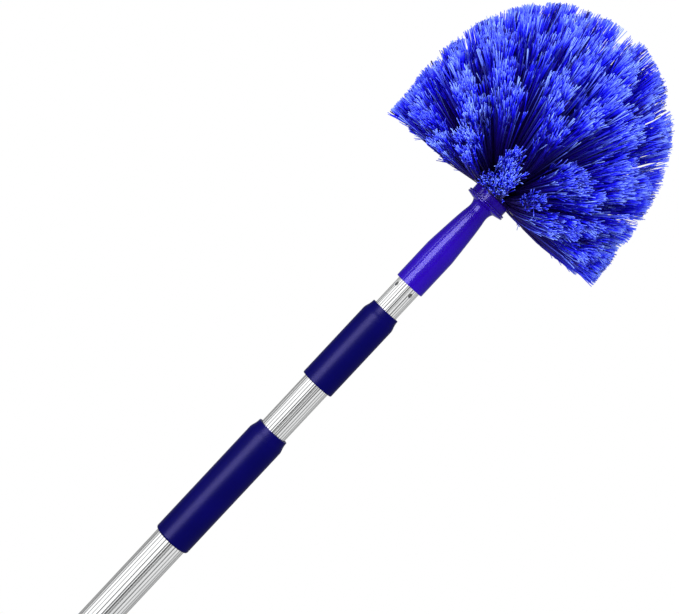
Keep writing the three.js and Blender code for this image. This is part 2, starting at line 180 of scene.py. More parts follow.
class Shader:
    """Adds the nodes of one material or world."""

    def __init__(self, tree: Tree) -> None:
        """Empties the tree that it fills."""
        self.tree = tree
        tree.nodes.clear()

    def node(self, kind: str, settings: dict | None = None, **values: object) -> Node:
        """Adds a node.

        Args:
            kind: the node's Blender type, without its leading word ShaderNode.
            settings: attributes that are set first, such as an operation or a ramp's stops.
            values: values or links of its sockets, with _ for each space in a name.

        Returns:
            The new node.
        """
        node = self.tree.nodes.new("ShaderNode" + kind)
        for name, value in (settings or {}).items():
            if name == "stops":
                self._set_stops(node.color_ramp, value)
            else:
                setattr(node, name, value)
        for name, value in values.items():
            slot = self._input(node, name)
            if isinstance(value, Socket):
                self.tree.links.new(value.output, slot)
            elif isinstance(value, Output):
                self.tree.links.new(value, slot)
            else:
                slot.default_value = value
        return node

    @staticmethod
    def _input(node: Node, name: str) -> Output:
        """Finds an enabled input by its name, or by i and a number.

        Args:
            node: the node.
            name: the input's name, with _ for each space, or i and its number.

        Returns:
            The input.
        """
        if name[0] == "i" and name[1:].isdigit():
            return node.inputs[int(name[1:])]
        wanted = name.replace("_", " ")
        return next(s for s in node.inputs if s.name == wanted and s.enabled)

    @staticmethod
    def _set_stops(ramp: bpy.types.ColorRamp, stops: Sequence[tuple]) -> None:
        """Gives a colour ramp its (place, colour) stops.

        Args:
            ramp: the ramp.
            stops: its stops, in order.
        """
        while len(ramp.elements) > 1:
            ramp.elements.remove(ramp.elements[-1])
        ramp.elements[0].position = stops[0][0]
        ramp.elements[0].color = (*stops[0][1], 1)
        for place, colour in stops[1:]:
            ramp.elements.new(place).color = (*colour, 1)

    def value(self, node: Node, name: str | int = 0) -> Socket:
        """Wraps one output of a node."""
        return Socket(self.tree, node.outputs[name])

    def place(self) -> Output:
        """The place on the object itself, in metres."""
        return self.node("TexCoord").outputs["Object"]

    def noise(
        self, place: Output, stretch: Sequence[float], detail: float = CLOUD_DETAIL,
    ) -> Socket:
        """A noise of 0 to 1 whose grain has its own size along each axis.

        Args:
            place: the coordinates that it follows.
            stretch: grains per metre along X, Y and Z.
            detail: how many finer layers it has.

        Returns:
            The noise's value.
        """
        mapping = self.node("Mapping", {"vector_type": "POINT"}, Vector=place, Scale=tuple(stretch))
        return self.value(self.node("TexNoise", Vector=mapping.outputs[0], Scale=1.0, Detail=detail), "Fac")

    def mixed(self, share: Socket, first: object, second: object) -> Output:
        """A colour between two, by a share of the second.

        Args:
            share: the share of the second.
            first: a colour, or the output that gives it.
            second: the other one, in the same way.

        Returns:
            The colour.
        """
        node = self.node("Mix", {"data_type": "RGBA"}, Factor=share)
        colour_a, colour_b = (s for s in node.inputs if s.name in ("A", "B") and s.type == "RGBA")
        for slot, value in ((colour_a, first), (colour_b, second)):
            if isinstance(value, Output):
                self.tree.links.new(value, slot)
            else:
                slot.default_value = (*value, 1)
        return next(s for s in node.outputs if s.type == "RGBA")

    def bump(self, height: Socket, distance: float, strength: float) -> Output:
        """A normal that follows a height of 0 to 1."""
        return self.node("Bump", Strength=strength, Distance=distance, Height=height).outputs[0]

    def surface(self, **values: object) -> None:
        """Ends a material with a Principled shader, given its sockets."""
        shader = self.node("BsdfPrincipled", **values)
        self.node("OutputMaterial", Surface=shader.outputs[0])


def new_material(name: str) -> tuple[Material, Shader]:
    """Makes an empty node material.

    Args:
        name: the material's name.

    Returns:
        The material, and the shader that fills it.
    """
    material = bpy.data.materials.new(name)
    material.use_nodes = True
    return material, Shader(material.node_tree)


def dimmed(colour: Colour, share: float) -> Colour:
    """A colour at a share of its brightness."""
    return tuple(share * c for c in colour)


# Finishes


@dataclass(frozen=True)
class MouldedPlastic:
    """An injection-moulded plastic, from satin to glossy."""

    name: str
    colour: Colour
    tint: Colour
    roughness: float
    shine: float
    grain_per_metre: float = 2500.0
    grain_depth: float = 0.02 * MM
    grain_strength: float = 0.6
    cloud_per_metre: float = 45.0
    flows_per_metre: tuple = (180.0, 180.0, 22.5)
    cloud_from: float = 0.35
    cloud_to: float = 0.75
    uneven_gloss: float = 0.14

    def make(self) -> Material:
        """Builds the material, or finds it: clouded colour, fine mould grain and slightly uneven gloss.

        Returns:
            The material.
        """
        if self.name in bpy.data.materials:
            return bpy.data.materials[self.name]
        material, sh = new_material(self.name)
        place = sh.place()
        cloud = sh.noise(place, [self.cloud_per_metre] * 3)
        grain = sh.noise(place, [self.grain_per_metre] * 3, GRAIN_DETAIL)
        flow = sh.noise(place, self.flows_per_metre)
        sh.surface(
            Base_Color=sh.mixed(cloud.step(self.cloud_from, self.cloud_to), self.colour, self.tint),
            Roughness=self.roughness * (1 - self.uneven_gloss / 2 + flow * self.uneven_gloss),
            Specular_IOR_Level=self.shine,
            Normal=sh.bump(grain, self.grain_depth, self.grain_strength),
        )
        return material


@dataclass(frozen=True)
class DrawnAluminium:
    """Bright drawn aluminium with lengthwise draw lines, painted shade low in the flutes and painted shadow
    in the dimples.
    """

    name: str
    radius: float
    colour: Colour = (0.90, 0.905, 0.91)
    # Painted shade for the flutes and the bore; the draw lines are also darkened towards this colour.
    line_and_flute_shade_colour: Colour = (0.25, 0.26, 0.26)
    # Painted shadow in the punched dimples, and partly in the bore.
    dimple_shadow_colour: Colour = (0.06, 0.06, 0.06)
    roughness: float = 0.11
    line_roughness: float = 0.1
    flute_roughness: float = 0.08
    lines_per_metre: tuple = (1500.0, 1500.0, 12.0)
    line_depth: float = 0.012 * MM
    line_strength: float = 0.5
    line_from: float = 0.4
    line_to: float = 0.75
    line_share: float = 0.15
    smudges_per_metre: tuple = (60.0, 60.0, 18.0)
    smudge_from: float = 0.45
    smudge_to: float = 0.8
    smudge_shade: float = 0.9
    flute_shade_share: float = 0.85
    dimple_shadow_share: float = 0.8
    flute_depths: Pair = (0.025 * MM, 0.2 * MM)
    dimple_depths: Pair = (0.4 * MM, 1.0 * MM)

    def make(self) -> Material:
        """Builds the material: draw lines along the tube, painted shade low in the flutes and in the bore,
        and painted shadow in the dimples.

        Returns:
            The material.
        """
        material, sh = new_material(self.name)
        place = sh.place()
        lines = sh.noise(place, self.lines_per_metre, GRAIN_DETAIL)
        smudge = sh.noise(place, self.smudges_per_metre)
        axes = sh.node("SeparateXYZ", Vector=place)
        across, deep = sh.value(axes, "X"), sh.value(axes, "Y")
        reach = (across * across + deep * deep) ** 0.5
        # Masks by depth below the outer surface: painted shade in the flutes, painted shadow in the dimples;
        # the bore gets both.
        in_flute, dimple_shadow_mask = (
            1.0 - reach.step(self.radius - deepest, self.radius - shallowest)
            for shallowest, deepest in (self.flute_depths, self.dimple_depths)
        )
        smudged = smudge.step(self.smudge_from, self.smudge_to)
        lined = lines.step(self.line_from, self.line_to) * self.line_share
        land = sh.mixed(smudged, self.colour, dimmed(self.colour, self.smudge_shade))
        drawn = sh.mixed(lined, land, self.line_and_flute_shade_colour)
        # Painted shade low in the flutes and in the bore, which lie deeper than the outer lands.
        fluted = sh.mixed(in_flute * self.flute_shade_share, drawn, self.line_and_flute_shade_colour)
        sh.surface(
            # Painted shadow in the dimples, over the painted flute shade.
            Base_Color=sh.mixed(dimple_shadow_mask * self.dimple_shadow_share, fluted, self.dimple_shadow_colour),
            Metallic=1.0,
            Roughness=self.roughness + lines * self.line_roughness + in_flute * self.flute_roughness,
            Normal=sh.bump(lines, self.line_depth, self.line_strength),
        )
        return material


@dataclass(frozen=True)
class PlatedSteel:
    """Bright zinc plating on a small screw."""

    name: str
    colour: Colour = (0.70, 0.71, 0.74)
    shade: float = 0.8
    roughness: float = 0.3
    spangles_per_metre: float = 900.0
    uneven_gloss: float = 0.6

    def make(self) -> Material:
        """Builds the material, with a spangle in its colour and gloss.

        Returns:
            The material.
        """
        material, sh = new_material(self.name)
        spangle = sh.noise(sh.place(), [self.spangles_per_metre] * 3)
        sh.surface(
            Base_Color=sh.mixed(spangle, self.colour, dimmed(self.colour, self.shade)),
            Metallic=1.0,
            Roughness=self.roughness * (1 - self.uneven_gloss / 2 + spangle * self.uneven_gloss),
        )
        return material


@dataclass(frozen=True)
class FlaggedFibre:
    """Bristle fibre: painted shade, darkest at the root deep in the fan, then deep blue along the shaft and
    pale where the tip is split.
    """

    name: str
    map_name: str
    # Painted shade: the low stops darken each filament towards its root, where the fan is deepest.
    stops: tuple = (
        (0.00, (0.009, 0.0008, 0.080)),
        (0.35, (0.009, 0.0009, 0.110)),
        (0.58, (0.008, 0.0012, 0.240)),
        (0.76, (0.006, 0.0020, 0.520)),
        (0.90, (0.007, 0.0044, 0.780)),
        (0.965, (0.011, 0.0145, 0.880)),
        (1.00, (0.088, 0.1380, 0.920)),
    )
    pale: Colour = (0.225, 0.345, 0.95)
    deep: Colour = (0.005, 0.0005, 0.090)
    pale_from: float = 0.65
    pale_share: float = 3.2
    pale_power: int = 4
    deep_from: float = 0.45
    deep_share: float = 2.4
    roughness: float = 0.45
    shine: float = 0.15

    def make(self) -> Material:
        """Builds the material: colour by the place along a filament, darkened towards the root as painted
        shade, and a tone for each filament.

        Returns:
            The material.
        """
        material, sh = new_material(self.name)
        axes = sh.node("SeparateXYZ", Vector=sh.node("UVMap", {"uv_map": self.map_name}).outputs[0])
        tone, share = sh.value(axes, "X"), sh.value(axes, "Y")
        ramp = sh.node("ValToRGB", {"stops": self.stops}, Fac=share).outputs[0]
        paled = ((tone - self.pale_from) * share**self.pale_power * self.pale_share).clamped()
        deepened = ((self.deep_from - tone) * self.deep_share).clamped()
        sh.surface(
            Base_Color=sh.mixed(deepened, sh.mixed(paled, ramp, self.pale), self.deep),
            Roughness=self.roughness,
            Specular_IOR_Level=self.shine,
        )
        return material


GRIP_PLASTIC = MouldedPlastic(
    "navy_satin_plastic", colour=(0.0003, 0.0001, 0.050), tint=(0.0005, 0.0001, 0.058),
    roughness=0.32, shine=0.031,
)
HEAD_PLASTIC = MouldedPlastic(
    "violet_gloss_plastic", colour=(0.0125, 0.0003, 0.250), tint=(0.0110, 0.0003, 0.220),
    roughness=0.15, shine=0.085, grain_per_metre=50.0,
)
# Painted shade: the dome is near-black violet for the shade between the tufts' roots.
DOME_SHADE_PLASTIC = MouldedPlastic(
    "violet_dome_painted_shade", colour=(0.004, 0.0005, 0.04), tint=(0.003, 0.0005, 0.03),
    roughness=0.35, shine=0.1,
)
TIP_PLASTIC = MouldedPlastic(
    "blue_tip_plastic", colour=(0.002, 0.003, 0.18), tint=(0.002, 0.002, 0.15), roughness=0.3, shine=0.15,
)
NYLON = MouldedPlastic(
    "natural_nylon", colour=(0.72, 0.71, 0.66), tint=(0.66, 0.65, 0.60), roughness=0.5, shine=0.4,
)
SHINY_PLASTICS = {plastic.name for plastic in (GRIP_PLASTIC, HEAD_PLASTIC, DOME_SHADE_PLASTIC, TIP_PLASTIC)}


# Work at the bench


def clear_bench() -> None:
    """Leaves edit mode and deselects every object."""
    if bpy.context.mode != "OBJECT":
        bpy.ops.object.mode_set(mode="OBJECT")
    bpy.ops.object.select_all(action="DESELECT")


def take(piece: Piece) -> None:
    """Makes a piece the active one and the only one selected.

    Args:
        piece: the piece.
    """
    clear_bench()
    bpy.context.view_layer.objects.active = piece
    piece.select_set(True)


def settled() -> Piece:
    """The object just added, with its place, turn and scale applied."""
    bpy.ops.object.transform_apply(location=True, rotation=True, scale=True)
    return bpy.context.object


def quarter(radius: float, height: float, edge: float, start: float) -> list[Point]:
    """Points of a quarter circle round an edge.

    Args:
        radius: distance of the circle's centre from the axis.
        height: height of its centre.
        edge: its own radius.
        start: the angle of its first point, in degrees.

    Returns:
        The points, as (radius, height).
    """
    turns = [math.radians(start + 90 * i / EDGE_STEPS) for i in range(EDGE_STEPS + 1)]
    return [(radius + edge * math.cos(a), height + edge * math.sin(a)) for a in turns]


def rim(radius: float, low: float, high: float, edge: float) -> list[Point]:
    """Points of a disc's rim with bevelled edges, from its under side up."""
    return [(radius - edge, low), (radius, low + edge), (radius, high - edge), (radius - edge, high)]


def between(before: float, start: float, end: float, after: float, t: float) -> float:
    """A smooth curve's value part of the way between two points.

    Args:
        before: the value at the point before them.
        start: the value at the first of them.
        end: the value at the second.
        after: the value at the point after them.
        t: the share of the way.

    Returns:
        The value.
    """
    bow = 2 * before - 5 * start + 4 * end - after
    turn = 3 * start - before - 3 * end + after
    return (2 * start + (end - before) * t + bow * t**2 + turn * t**3) / 2


def flowing(points: Sequence[Point], steps: int) -> list[Point]:
    """A smooth curve through points.

    Args:
        points: the points that it passes, as (radius, height).
        steps: how many stretches lie between two of them.

    Returns:
        The curve's points.
    """
    padded = [points[0], *points, points[-1]]
    curve = [points[0]]
    for nodes in zip(padded, padded[1:], padded[2:], padded[3:]):
        for i in range(1, steps + 1):
            curve.append(tuple(between(*values, i / steps) for values in zip(*nodes)))
    return curve


def start_ring(name: str, radius: float, height: float, sides: int) -> Piece:
    """Adds a circle about the pole's axis, and enters edit mode with all of it selected.

    Args:
        name: the new piece's name.
        radius: the circle's radius.
        height: its height up the pole.
        sides: how many sides it has.

    Returns:
        The new piece.
    """
    clear_bench()
    bpy.ops.mesh.primitive_circle_add(
        vertices=sides, radius=radius, fill_type="NOTHING", location=(0, 0, height),
    )
    piece = settled()
    piece.name = piece.data.name = name
    bpy.ops.object.mode_set(mode="EDIT")
    bpy.ops.mesh.select_all(action="SELECT")
    return piece


def draw_out(outline: Sequence[Point]) -> None:
    """Extrudes the selected ring, which lies at the outline's first point, through the others.

    Args:
        outline: points as (radius, height), of which only the last may lie on the axis.
    """
    for (radius, height), (next_radius, next_height) in zip(outline, outline[1:]):
        bpy.ops.mesh.extrude_region_move(TRANSFORM_OT_translate={"value": (0, 0, next_height - height)})
        share = max(next_radius, AXIS_RADIUS) / radius
        if share != 1:
            bpy.ops.transform.resize(value=(share, share, 1), center_override=(0, 0, next_height))


def close_piece() -> None:
    """Merges doubles in the piece being edited, turns its faces outwards and smooths its shading."""
    bpy.ops.mesh.select_all(action="SELECT")
    bpy.ops.mesh.remove_doubles(threshold=MERGE_DISTANCE)
    bpy.ops.mesh.normals_make_consistent(inside=False)
    bpy.ops.object.mode_set(mode="OBJECT")
    bpy.ops.object.shade_smooth_by_angle(angle=SMOOTH_ANGLE)


def turned(name: str, outline: Sequence[Point]) -> Piece:
    """Turns a solid about the pole's axis.

    Args:
        name: the piece's name.
        outline: points as (radius, height). Where both ends lie on the axis it is a solid, and else a
            closed ring.

    Returns:
        The piece, in object mode.
    """
    on_axis = outline[0][0] == 0
    path = list(outline[1:] if on_axis else [*outline, outline[0]])
    piece = start_ring(name, *path[0], ROUND_SIDES)
    if on_axis:
        bpy.ops.mesh.edge_face_add()
        bpy.ops.mesh.poke()
        select_where(piece, lambda v: math.hypot(v.co.x, v.co.y) > path[0][0] / 2)
    draw_out(path)
    close_piece()
    return piece


def select_where(piece: Piece, wanted: Callable[[bmesh.types.BMVert], bool]) -> None:
    """Selects the vertices that a test picks, and the edges and faces between them.

    Args:
        piece: the piece, in edit mode.
        wanted: the test, given a vertex.
    """
    shape = bmesh.from_edit_mesh(piece.data)
    for vertex in shape.verts:
        vertex.select = bool(wanted(vertex))
    shape.select_flush_mode()
    bmesh.update_edit_mesh(piece.data)


def cut_away(piece: Piece, cutter: Piece) -> None:
    """Cuts a closed shape out of a piece, and deletes the cutter.

    Args:
        piece: the piece that is cut.
        cutter: the closed shape that is taken away.
    """
    take(piece)
    cut = piece.modifiers.new("cut", "BOOLEAN")
    cut.operation = "DIFFERENCE"
    cut.solver = "EXACT"
    cut.object = cutter
    bpy.ops.object.modifier_apply(modifier=cut.name)
    bpy.data.objects.remove(cutter)
    bpy.ops.object.shade_smooth_by_angle(angle=SMOOTH_ANGLE)


def dress(piece: Piece, material: Material) -> None:
    """Gives every face of a piece one material."""
    piece.data.materials.clear()
    piece.data.materials.append(material)


def hand_over(
    piece: Piece, material: Material, body: Body, slot: str, *nodes: str,
) -> None:
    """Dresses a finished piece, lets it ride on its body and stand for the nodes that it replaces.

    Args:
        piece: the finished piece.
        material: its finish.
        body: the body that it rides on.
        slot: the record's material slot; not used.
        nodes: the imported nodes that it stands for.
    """
    dress(piece, material)
    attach(piece, body.value)
    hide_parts(*nodes)
    LOG.info("%s: %d faces, rides on %s", piece.name, len(piece.data.polygons), body.value)


def span(node: str) -> Pair:
    """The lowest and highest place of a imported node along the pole."""
    low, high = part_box(node)
    return low.z, high.z


# The pole


@dataclass
class FlutedTube:
    """One of the pole's three tubes: drawn aluminium with shallow flutes, inside and out."""

    name: str
    node: str
    body: Body
    radius: float
    dimple_height: float | None = None
    groove_start: int = 0
    wall: float = 0.8 * MM
    flutes: int = 28
    flute_depth: float = 0.25 * MM
    groove_shares: tuple = (0.65, 1.0, 0.65, 0.0, 0.0, 0.0, 0.0, 0.0, 0.0, 0.0)
    rim_edge: float = 0.15 * MM
    dimples: int = 4
    dimple_depth: float = 1.7 * MM
    dimple_radius: float = 1.9 * MM
    dimple_turn: float = math.radians(-54)
    dimple_band_share: float = 1.5
    dimple_rings: int = 12

    def build(self) -> None:
        """Makes the tube from one fluted ring, drawn up the outside and back down the bore."""
        bottom, top = span(self.node)
        start = (self.radius, bottom + self.rim_edge)
        bore = self.radius - self.wall
        piece = start_ring(self.name, *start, self.flutes * len(self.groove_shares))
        self.press_flutes(piece)
        bpy.ops.mesh.select_all(action="SELECT")
        draw_out([
            start,
            *self.dimple_band(),
            (self.radius, top - self.rim_edge),
            (self.radius - self.rim_edge, top),
            (bore, top),
            (bore, bottom),
            (self.radius - self.rim_edge, bottom),
            start,
        ])
        close_piece()
        if self.dimple_height is not None:
            self.punch(piece)
        finish = DrawnAluminium(f"{self.name}_aluminium", self.radius)
        hand_over(piece, finish.make(), self.body, "tube_aluminium", self.node)

    def groove_at(self, vertex: bmesh.types.BMVert) -> float:
        """How deep a vertex of the first ring goes into a flute, as a share."""
        return self.groove_shares[(vertex.index + 1 + self.groove_start) % len(self.groove_shares)]

    def press_flutes(self, piece: Piece) -> None:
        """Presses each level of the flutes into the first ring.

        Args:
            piece: the ring, in edit mode.
        """
        for level in sorted(set(self.groove_shares) - {0.0}):
            select_where(piece, lambda v: self.groove_at(v) == level)
            share = 1 - level * self.flute_depth / self.radius
            bpy.ops.transform.resize(value=(share, share, 1), center_override=(0, 0, 0))

    def dimple_band(self) -> list[Point]:
        """Close rings where the dimples are punched.

        Returns:
            The rings, as (radius, height).
        """
        if self.dimple_height is None:
            return []
        reach = self.dimple_band_share * self.dimple_radius
        places = np.linspace(self.dimple_height - reach, self.dimple_height + reach, self.dimple_rings)
        return [(self.radius, float(z)) for z in places]

    def punch(self, piece: Piece) -> None:
        """Pushes the dimples into the outer wall.

        Args:
            piece: the tube, in object mode.
        """
        take(piece)
        bpy.ops.object.mode_set(mode="EDIT")
        for i in range(self.dimples):
            turn = self.dimple_turn + i * 2 * math.pi / self.dimples
            outwards = Vector((math.cos(turn), math.sin(turn), 0))
            centre = outwards * self.radius + Vector((0, 0, self.dimple_height))
            shape = bmesh.from_edit_mesh(piece.data)
            nearest = min(shape.verts, key=lambda v: (v.co - centre).length_squared).co.copy()
            select_where(piece, lambda v: (v.co - nearest).length < MERGE_DISTANCE)
            bpy.ops.transform.translate(
                value=outwards * -self.dimple_depth,
                use_proportional_edit=True, use_proportional_connected=True,
                proportional_edit_falloff="SPHERE", proportional_size=self.dimple_radius,
            )
        bpy.ops.object.mode_set(mode="OBJECT")


@dataclass
class TwistGrip:
    """A satin sleeve that locks a tube: rounded foot, plain barrel and a chamfered nose with a lip."""

    name: str
    node: str
    body: Body
    radius: float
    nose_radius: float
    foot_round: float
    foot_bore: float
    nose_bore: float
    thread_bore: float
    nose_length: float = 10 * MM
    thread_from_top: float = 20 * MM
    lip_round: float = 0.3 * MM
    lip_height: float = 2.5 * MM
    neck_height: float = 6 * MM
    nose_outline_shares: tuple = (
        (0.0, 0.0), (0.05, 0.09), (0.17, 0.2), (0.36, 0.325), (0.57, 0.45), (0.74, 0.58), (0.88, 0.71),
        (0.97, 0.85), (1.0, 1.0),
    )
    nose_steps: int = 4

    def build(self) -> None:
        """Turns the sleeve."""
        bottom, top = span(self.node)
        drop = self.radius - self.nose_radius
        rise = self.nose_length - self.lip_round
        nose = [
            (self.radius - inwards * drop, top - self.nose_length + along * rise)
            for inwards, along in self.nose_outline_shares
        ]
        piece = turned(self.name, [
            (self.foot_bore, bottom),
            *quarter(self.radius - self.foot_round, bottom + self.foot_round, self.foot_round, -90),
            *flowing(nose, self.nose_steps)[:-1],
            *quarter(self.nose_radius - self.lip_round, top - self.lip_round, self.lip_round, 0),
            (self.nose_bore, top),
            (self.nose_bore, top - self.lip_height),
            (self.thread_bore, top - self.thread_from_top),
            (self.thread_bore, bottom + self.neck_height),
            (self.foot_bore, bottom + self.neck_height),
        ])
        hand_over(piece, GRIP_PLASTIC.make(), self.body, "grip_plastic", self.node)


@dataclass
class EndCap:
    """The plug in the pole's foot: a rounded boss with a hanging hole, a lip and a spigot."""

    name: str = "end_cap_moulding"
    node: str = "end_cap"
    height: float = 27 * MM
    radius: float = 13.4 * MM
    foot_round: float = 2.5 * MM
    lip_radius: float = 16 * MM
    lip_height: float = 4 * MM
    lip_round: float = 1 * MM
    spigot_radius: float = 13.5 * MM
    spigot_edge: float = 1 * MM
    hole_radius: float = 4.5 * MM
    hole_height: float = 12 * MM
    hole_sides: int = 64

    def build(self) -> None:
        """Turns the cap and drills the hanging hole across it."""
        top = span(self.node)[1]
        lip_bottom = self.height - self.lip_height
        piece = turned(self.name, [
            (0, 0),
            *quarter(self.radius - self.foot_round, self.foot_round, self.foot_round, -90),
            (self.radius, lip_bottom - (self.lip_radius - self.radius)),
            (self.lip_radius, lip_bottom),
            *quarter(self.lip_radius - self.lip_round, self.height - self.lip_round, self.lip_round, 0),
            (self.spigot_radius, self.height),
            (self.spigot_radius, top - self.spigot_edge),
            (self.spigot_radius - self.spigot_edge, top),
            (0, top),
        ])
        cut_away(piece, self.drill())
        hand_over(piece, GRIP_PLASTIC.make(), Body.OUTER, "grip_plastic", self.node)

    def drill(self) -> Piece:
        """The shape of the hole: a cylinder across the cap.

        Returns:
            The cylinder.
        """
        clear_bench()
        bpy.ops.mesh.primitive_cylinder_add(
            vertices=self.hole_sides, radius=self.hole_radius, depth=3 * self.lip_radius,
            location=(0, 0, self.hole_height), rotation=(0, math.pi / 2, 0),
        )
        return settled()


@dataclass
class ScrewTip:
    """The tip that the head screws onto: a hollow spigot, a base ring and a tapered thread with two flats."""

    name: str = "screw_tip_moulding"
    node: str = "screw_tip"
    bore_radius: float = 6 * MM
    roof: float = 3 * MM
    spigot_radius: float = 9.8 * MM
    spigot_length: float = 25 * MM
    groove_radius: float = 8.9 * MM
    groove_below_base: float = 7.3 * MM
    groove_half_height: float = 2.6 * MM
    base_radius: float = 12.25 * MM
    base_height: float = 4 * MM
    edge: float = 0.4 * MM
    thread_radius: float = 11.9 * MM
    top_radius: float = 9.5 * MM
    pitch: float = 2.1 * MM
    turns: int = 9
    thread_depth: float = 0.8 * MM
    thread_shares: tuple = (
        (0.05, 1.0), (0.2, 0.75), (0.36, 0.14), (0.5, 0.0), (0.64, 0.14), (0.8, 0.75), (0.95, 1.0),
    )
    flat_distance: float = 11 * MM

    def build(self) -> None:
        """Turns the tip and cuts its flats."""
        top = span(self.node)[1]
        shelf = top - self.turns * self.pitch
        base = shelf - self.base_height
        bottom = base - self.spigot_length
        groove_top = base - self.groove_below_base + self.groove_half_height
        groove_bottom = base - self.groove_below_base - self.groove_half_height
        piece = turned(self.name, [
            (0, top - self.roof),
            (self.bore_radius, top - self.roof),
            (self.bore_radius, bottom),
            (self.spigot_radius, bottom),
            (self.spigot_radius, groove_bottom),
            (self.groove_radius, groove_bottom),
            (self.groove_radius, groove_top),
            (self.spigot_radius, groove_top),
            (self.spigot_radius, base),
            *rim(self.base_radius, base, shelf, self.edge),
            *self.thread(shelf),
            (self.top_radius - self.edge, top),
            (0, top),
        ])
        for side in (-1, 1):
            cut_away(piece, self.flat_cutter(side, shelf, top))
        hand_over(piece, TIP_PLASTIC.make(), Body.INNER, "tip_plastic", self.node)

    def thread(self, shelf: float) -> list[Point]:
        """The thread's outline above the base ring, whose crests draw in evenly.

        Args:
            shelf: height of the base ring's top.

        Returns:
            The points, as (radius, height).
        """
        points = []
        for turn in range(self.turns):
            for along, drop in self.thread_shares:
                share = (turn + along) / self.turns
                crest = self.thread_radius - share * (self.thread_radius - self.top_radius)
                points.append((crest - drop * self.thread_depth, shelf + (turn + along) * self.pitch))
        return points

    def flat_cutter(self, side: int, shelf: float, top: float) -> Piece:
        """A block beside the thread, twice as deep as the base ring stands out past the flat.

        Args:
            side: 1 or -1, for the side that it is on.
            shelf: height of the base ring's top.
            top: height of the tip's top.

        Returns:
            The block.
        """
        clear_bench()
        deep = 2 * (self.base_radius - self.flat_distance)
        bpy.ops.mesh.primitive_cube_add(
            size=1, location=(0, side * (self.flat_distance + deep / 2), (shelf + top) / 2 + self.edge),
            scale=(3 * self.base_radius, deep, top - shelf),
        )
        return settled()


# The head


@dataclass
class HeadSocket:
    """The head's tapered handle, glossy, with a waist below its flange."""

    name: str = "head_socket_moulding"
    node: str = "head_socket"
    mouth_radius: float = 13.45 * MM
    mouth_round: float = 0.7 * MM
    mouth_bore: float = 12.6 * MM
    mouth_depth: float = 8.5 * MM
    tip_bore: float = 9.85 * MM
    bore_depth: float = 25.5 * MM
    driver_bore: float = 4.925 * MM
    flange_radius: float = 18.25 * MM
    flange_thickness: float = 1.5 * MM
    flange_edge: float = 0.35 * MM
    outline_shares: tuple = (
        (1.0, 0.4), (0.985, 0.43), (0.9, 0.578), (0.82, 0.709), (0.747, 0.807), (0.68, 0.872), (0.66, 0.9),
        (0.675, 0.925), (0.72, 0.947), (0.79, 0.965),
    )
    outline_steps: int = 4

    def build(self) -> None:
        """Turns the handle."""
        bottom, top = span(self.node)
        outline = [
            (across * self.mouth_radius, bottom + along * (top - bottom))
            for across, along in self.outline_shares
        ]
        piece = turned(self.name, [
            (self.mouth_bore, bottom),
            *quarter(self.mouth_radius - self.mouth_round, bottom + self.mouth_round, self.mouth_round, -90),
            *flowing(outline, self.outline_steps),
            *rim(self.flange_radius, top - self.flange_thickness, top, self.flange_edge),
            (self.driver_bore, top),
            (self.driver_bore, bottom + self.bore_depth),
            (self.tip_bore, bottom + self.bore_depth),
            (self.mouth_bore, bottom + self.mouth_depth),
        ])
        hand_over(piece, HEAD_PLASTIC.make(), Body.HEAD, "head_plastic", self.node)


@dataclass
class BrushBlock:
    """The block that holds the bristles: a thin lip, a plain wall and a dome, turned without its drilled
    holes.
    """

    base_name: str = "brush_block_base"
    dome_name: str = "drilled_dome"
    node: str = "brush_block"
    height: float = 8 * MM
    lip_radius: float = 18.25 * MM
    lip_thickness: float = 1.5 * MM
    lip_edge: float = 0.35 * MM
    base_radius: float = 16.5 * MM
    screw_bore: float = 2.3 * MM
    dome_radius: float = 23 * MM
    dome_steps: int = 16
    post_radius: float = 12 * MM
    seat_gap: float = 0.3 * MM

    def fan_height(self) -> float:
        """Height of the dome's centre up the pole."""
        return span(self.node)[0] + self.height

    def build(self) -> None:
        """Turns the base and the dome."""
        bottom, top = span(self.node)
        base_top = self.fan_height() - self.seat_gap
        shelf = bottom + self.lip_thickness
        base = turned(self.base_name, [
            (self.screw_bore, bottom),
            *rim(self.lip_radius, bottom, shelf, self.lip_edge),
            (self.base_radius, shelf),
            (self.base_radius, base_top),
            (self.post_radius, base_top),
            (self.post_radius, top),
            (self.screw_bore, top),
        ])
        hand_over(base, HEAD_PLASTIC.make(), Body.HEAD, "head_plastic", self.node)
        dome = turned(self.dome_name, self.dome_outline(self.fan_height()))
        quarters = [f"bristles_{i}" for i in range(1, 5)]
        # The dome's near-black colour is painted shade between the tufts.
        hand_over(dome, DOME_SHADE_PLASTIC.make(), Body.HEAD, "bristle_fibre", *quarters)

    def dome_outline(self, centre: float) -> list[Point]:
        """A half ball over the fan's centre, with a pocket for the base's post.

        Args:
            centre: height of the fan's centre.

        Returns:
            The points, as (radius, height).
        """
        pocket = self.post_radius + self.seat_gap
        roof = centre + self.post_radius
        turns = [math.pi / 2 * i / self.dome_steps for i in range(self.dome_steps)]
        ball = [(self.dome_radius * math.cos(a), centre + self.dome_radius * math.sin(a)) for a in turns]
        return [(0, roof), (pocket, roof), (pocket, centre), *ball, (0, centre + self.dome_radius)]


@dataclass(frozen=True)
class TuftRow:
    """One row of tufts round the dome, with its elevations in degrees."""

    count: int
    turn_share: float
    root: float
    tip: float


def tuft_rows() -> tuple[TuftRow, ...]:
    """The rows from rim to crown: 7 degrees apart at the tips, and every second one half a step round.

    Returns:
        The rows.
    """
    counts = (16, 16, 16, 16, 16, 16, 16, 16, 12, 12, 8, 4)
    turn_shares = (0.25, 0.75)
    rim_root, crown_root, rim_tip, crown_tip = 6.0, 78.0, 2.4, 80.5
    steps = len(counts) - 1
    return tuple(
        TuftRow(
            count, turn_shares[i % 2],
            rim_root + (crown_root - rim_root) * i / steps,
            rim_tip + (crown_tip - rim_tip) * i / steps,
        )
        for i, count in enumerate(counts)
    )


